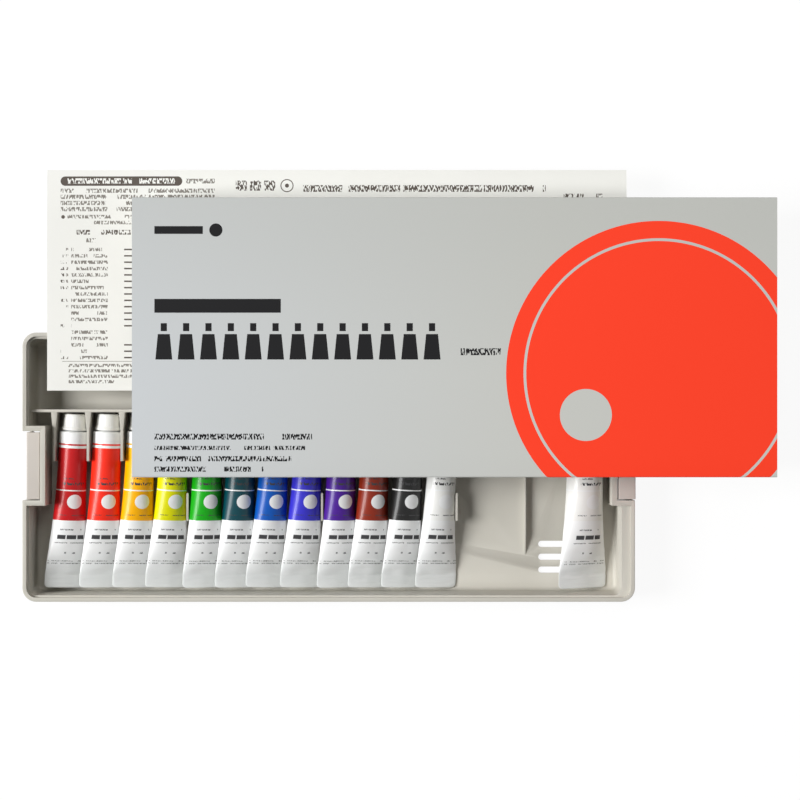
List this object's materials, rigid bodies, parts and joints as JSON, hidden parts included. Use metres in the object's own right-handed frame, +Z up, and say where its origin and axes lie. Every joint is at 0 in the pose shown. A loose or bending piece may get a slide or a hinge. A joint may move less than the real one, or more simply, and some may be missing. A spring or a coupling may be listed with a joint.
{
  "type": "gouache paint set box",
  "caption": "Moulded case tray holding foil paint tubes in a comb, with side latches, a leaflet over its rear half and a printed card sleeve with the case's lid in it on top.",
  "frame": {"origin": "centre of the case tray's flat underside, on the table", "axes": "+X along the tray's length towards the big tube, +Y towards the rear edge under the leaflet, +Z up out of the tray"},
  "size_m": [0.4421, 0.2565, 0.0608],
  "materials": {
    "case_plastic": "moulded, fine matte grain",
    "latch_plastic": "moulded, fine matte grain",
    "leaflet_paper": "smooth uncoated, printed grey",
    "sleeve_card": "printed silver grey with a large red-orange area, satin varnish",
    "cap_plastic": "moulded polypropylene, satin",
    "enamel_dark_red": "white enamelled foil with a colour band, satin",
    "gouache_dark_red": "thick matte paint",
    "enamel_red": "white enamelled foil with a colour band, satin",
    "gouache_red": "thick matte paint",
    "enamel_orange_yellow": "white enamelled foil with a colour band, satin",
    "gouache_orange_yellow": "thick matte paint",
    "enamel_lemon_yellow": "white enamelled foil with a colour band, satin",
    "gouache_lemon_yellow": "thick matte paint",
    "enamel_green": "white enamelled foil with a colour band, satin",
    "gouache_green": "thick matte paint",
    "enamel_deep_green": "white enamelled foil with a colour band, satin",
    "gouache_deep_green": "thick matte paint",
    "enamel_blue": "white enamelled foil with a colour band, satin",
    "gouache_blue": "thick matte paint",
    "enamel_violet_blue": "white enamelled foil with a colour band, satin",
    "gouache_violet_blue": "thick matte paint",
    "enamel_violet": "white enamelled foil with a colour band, satin",
    "gouache_violet": "thick matte paint",
    "enamel_brown": "white enamelled foil with a colour band, satin",
    "gouache_brown": "thick matte paint",
    "enamel_black": "white enamelled foil with a colour band, satin",
    "gouache_black": "thick matte paint",
    "enamel_white": "white enamelled foil with a colour band, satin",
    "gouache_white": "thick matte paint",
    "enamel_large_white": "white enamelled foil with a colour band, satin",
    "gouache_large_white": "thick matte paint"
  },
  "bodies": {
    "tray": {"tray": "case_plastic"},
    "latch_left": {"latch_left": "latch_plastic"},
    "latch_right": {"latch_right": "latch_plastic"},
    "leaflet": {"leaflet": "leaflet_paper"},
    "sleeve": {"sleeve": "sleeve_card"},
    "lid": {"lid": "case_plastic"},
    "tube_01": {"tube_01": "enamel_dark_red", "paint_01": "gouache_dark_red"},
    "cap_01": {"cap_01": "cap_plastic"},
    "tube_02": {"tube_02": "enamel_red", "paint_02": "gouache_red"},
    "cap_02": {"cap_02": "cap_plastic"},
    "tube_03": {"tube_03": "enamel_orange_yellow", "paint_03": "gouache_orange_yellow"},
    "cap_03": {"cap_03": "cap_plastic"},
    "tube_04": {"tube_04": "enamel_lemon_yellow", "paint_04": "gouache_lemon_yellow"},
    "cap_04": {"cap_04": "cap_plastic"},
    "tube_05": {"tube_05": "enamel_green", "paint_05": "gouache_green"},
    "cap_05": {"cap_05": "cap_plastic"},
    "tube_06": {"tube_06": "enamel_deep_green", "paint_06": "gouache_deep_green"},
    "cap_06": {"cap_06": "cap_plastic"},
    "tube_07": {"tube_07": "enamel_blue", "paint_07": "gouache_blue"},
    "cap_07": {"cap_07": "cap_plastic"},
    "tube_08": {"tube_08": "enamel_violet_blue", "paint_08": "gouache_violet_blue"},
    "cap_08": {"cap_08": "cap_plastic"},
    "tube_09": {"tube_09": "enamel_violet", "paint_09": "gouache_violet"},
    "cap_09": {"cap_09": "cap_plastic"},
    "tube_10": {"tube_10": "enamel_brown", "paint_10": "gouache_brown"},
    "cap_10": {"cap_10": "cap_plastic"},
    "tube_11": {"tube_11": "enamel_black", "paint_11": "gouache_black"},
    "cap_11": {"cap_11": "cap_plastic"},
    "tube_12": {"tube_12": "enamel_white", "paint_12": "gouache_white"},
    "cap_12": {"cap_12": "cap_plastic"},
    "tube_13": {"tube_13": "enamel_large_white", "paint_13": "gouache_large_white"},
    "cap_13": {"cap_13": "cap_plastic"}
  },
  "joints": [
    {"name": "latch_left_swing", "type": "hinge", "parent": "tray", "child": "latch_left", "pos_m": [-0.1802, 0, 0.004], "axis": [0, -1, 0], "range_deg": [0, 90]},
    {"name": "latch_right_swing", "type": "hinge", "parent": "tray", "child": "latch_right", "pos_m": [0.1802, 0, 0.004], "axis": [0, 1, 0], "range_deg": [0, 90]},
    {"name": "tube_01_lift", "type": "slide", "parent": "tray", "child": "tube_01", "axis": [0, 0, 1], "range_m": [0, 0.026]},
    {"name": "cap_01_turn", "type": "hinge", "parent": "tube_01", "child": "cap_01", "pos_m": [-0.15351, 0.02031, 0.01113], "axis": [0.0575, 0.9977, 0.0361], "range_deg": [0, 360]},
    {"name": "tube_02_lift", "type": "slide", "parent": "tube_01", "child": "tube_02", "axis": [0, 0, 1], "range_m": [0, 0.026]},
    {"name": "cap_02_turn", "type": "hinge", "parent": "tube_02", "child": "cap_02", "pos_m": [-0.13339, 0.02031, 0.01113], "axis": [0.0488, 0.9982, 0.0361], "range_deg": [0, 360]},
    {"name": "tube_03_lift", "type": "slide", "parent": "tube_02", "child": "tube_03", "axis": [0, 0, 1], "range_m": [0, 0.026]},
    {"name": "cap_03_turn", "type": "hinge", "parent": "tube_03", "child": "cap_03", "pos_m": [-0.11316, 0.02031, 0.01113], "axis": [0.0523, 0.998, 0.0361], "range_deg": [0, 360]},
    {"name": "tube_04_lift", "type": "slide", "parent": "tube_03", "child": "tube_04", "axis": [0, 0, 1], "range_m": [0, 0.026]},
    {"name": "cap_04_turn", "type": "hinge", "parent": "tube_04", "child": "cap_04", "pos_m": [-0.0929, 0.02031, 0.01113], "axis": [0.0593, 0.9976, 0.0361], "range_deg": [0, 360]},
    {"name": "tube_05_lift", "type": "slide", "parent": "tube_04", "child": "tube_05", "axis": [0, 0, 1], "range_m": [0, 0.026]},
    {"name": "cap_05_turn", "type": "hinge", "parent": "tube_05", "child": "cap_05", "pos_m": [-0.07293, 0.02031, 0.01113], "axis": [0.0314, 0.9989, 0.0361], "range_deg": [0, 360]},
    {"name": "tube_06_lift", "type": "slide", "parent": "tube_05", "child": "tube_06", "axis": [0, 0, 1], "range_m": [0, 0.026]},
    {"name": "cap_06_turn", "type": "hinge", "parent": "tube_06", "child": "cap_06", "pos_m": [-0.05265, 0.02031, 0.01113], "axis": [0.0418, 0.9985, 0.0361], "range_deg": [0, 360]},
    {"name": "tube_07_lift", "type": "slide", "parent": "tube_06", "child": "tube_07", "axis": [0, 0, 1], "range_m": [0, 0.026]},
    {"name": "cap_07_turn", "type": "hinge", "parent": "tube_07", "child": "cap_07", "pos_m": [-0.03227, 0.02031, 0.01113], "axis": [0.0627, 0.9974, 0.0361], "range_deg": [0, 360]},
    {"name": "tube_08_lift", "type": "slide", "parent": "tube_07", "child": "tube_08", "axis": [0, 0, 1], "range_m": [0, 0.026]},
    {"name": "cap_08_turn", "type": "hinge", "parent": "tube_08", "child": "cap_08", "pos_m": [-0.01211, 0.02031, 0.01113], "axis": [0.0575, 0.9977, 0.0361], "range_deg": [0, 360]},
    {"name": "tube_09_lift", "type": "slide", "parent": "tube_08", "child": "tube_09", "axis": [0, 0, 1], "range_m": [0, 0.026]},
    {"name": "cap_09_turn", "type": "hinge", "parent": "tube_09", "child": "cap_09", "pos_m": [0.0079, 0.02031, 0.01113], "axis": [0.0349, 0.9987, 0.0361], "range_deg": [0, 360]},
    {"name": "tube_10_lift", "type": "slide", "parent": "tube_09", "child": "tube_10", "axis": [0, 0, 1], "range_m": [0, 0.026]},
    {"name": "cap_10_turn", "type": "hinge", "parent": "tube_10", "child": "cap_10", "pos_m": [0.02826, 0.02031, 0.01113], "axis": [0.054, 0.9979, 0.0361], "range_deg": [0, 360]},
    {"name": "tube_11_lift", "type": "slide", "parent": "tube_10", "child": "tube_11", "axis": [0, 0, 1], "range_m": [0, 0.026]},
    {"name": "cap_11_turn", "type": "hinge", "parent": "tube_11", "child": "cap_11", "pos_m": [0.04847, 0.02031, 0.01113], "axis": [0.0558, 0.9978, 0.0361], "range_deg": [0, 360]},
    {"name": "tube_12_lift", "type": "slide", "parent": "tube_11", "child": "tube_12", "axis": [0, 0, 1], "range_m": [0, 0.026]},
    {"name": "cap_12_turn", "type": "hinge", "parent": "tube_12", "child": "cap_12", "pos_m": [0.06866, 0.02031, 0.01113], "axis": [0.054, 0.9979, 0.0361], "range_deg": [0, 360]},
    {"name": "tube_13_lift", "type": "slide", "parent": "tube_12", "child": "tube_13", "axis": [0, 0, 1], "range_m": [0, 0.026]},
    {"name": "cap_13_turn", "type": "hinge", "parent": "tube_13", "child": "cap_13", "pos_m": [0.15388, 0.02031, 0.01299], "axis": [0.0209, 0.9993, 0.0306], "range_deg": [0, 360]},
    {"name": "leaflet_slide", "type": "slide", "parent": "tray", "child": "leaflet", "axis": [0, 1, 0], "range_m": [0, 0.14]},
    {"name": "sleeve_lift", "type": "slide", "parent": "tube_13", "child": "sleeve", "axis": [0, 0, 1], "range_m": [0, 0.12]},
    {"name": "lid_slide", "type": "slide", "parent": "sleeve", "child": "lid", "axis": [1, 0, 0], "range_m": [0, 0.36]}
  ]
}
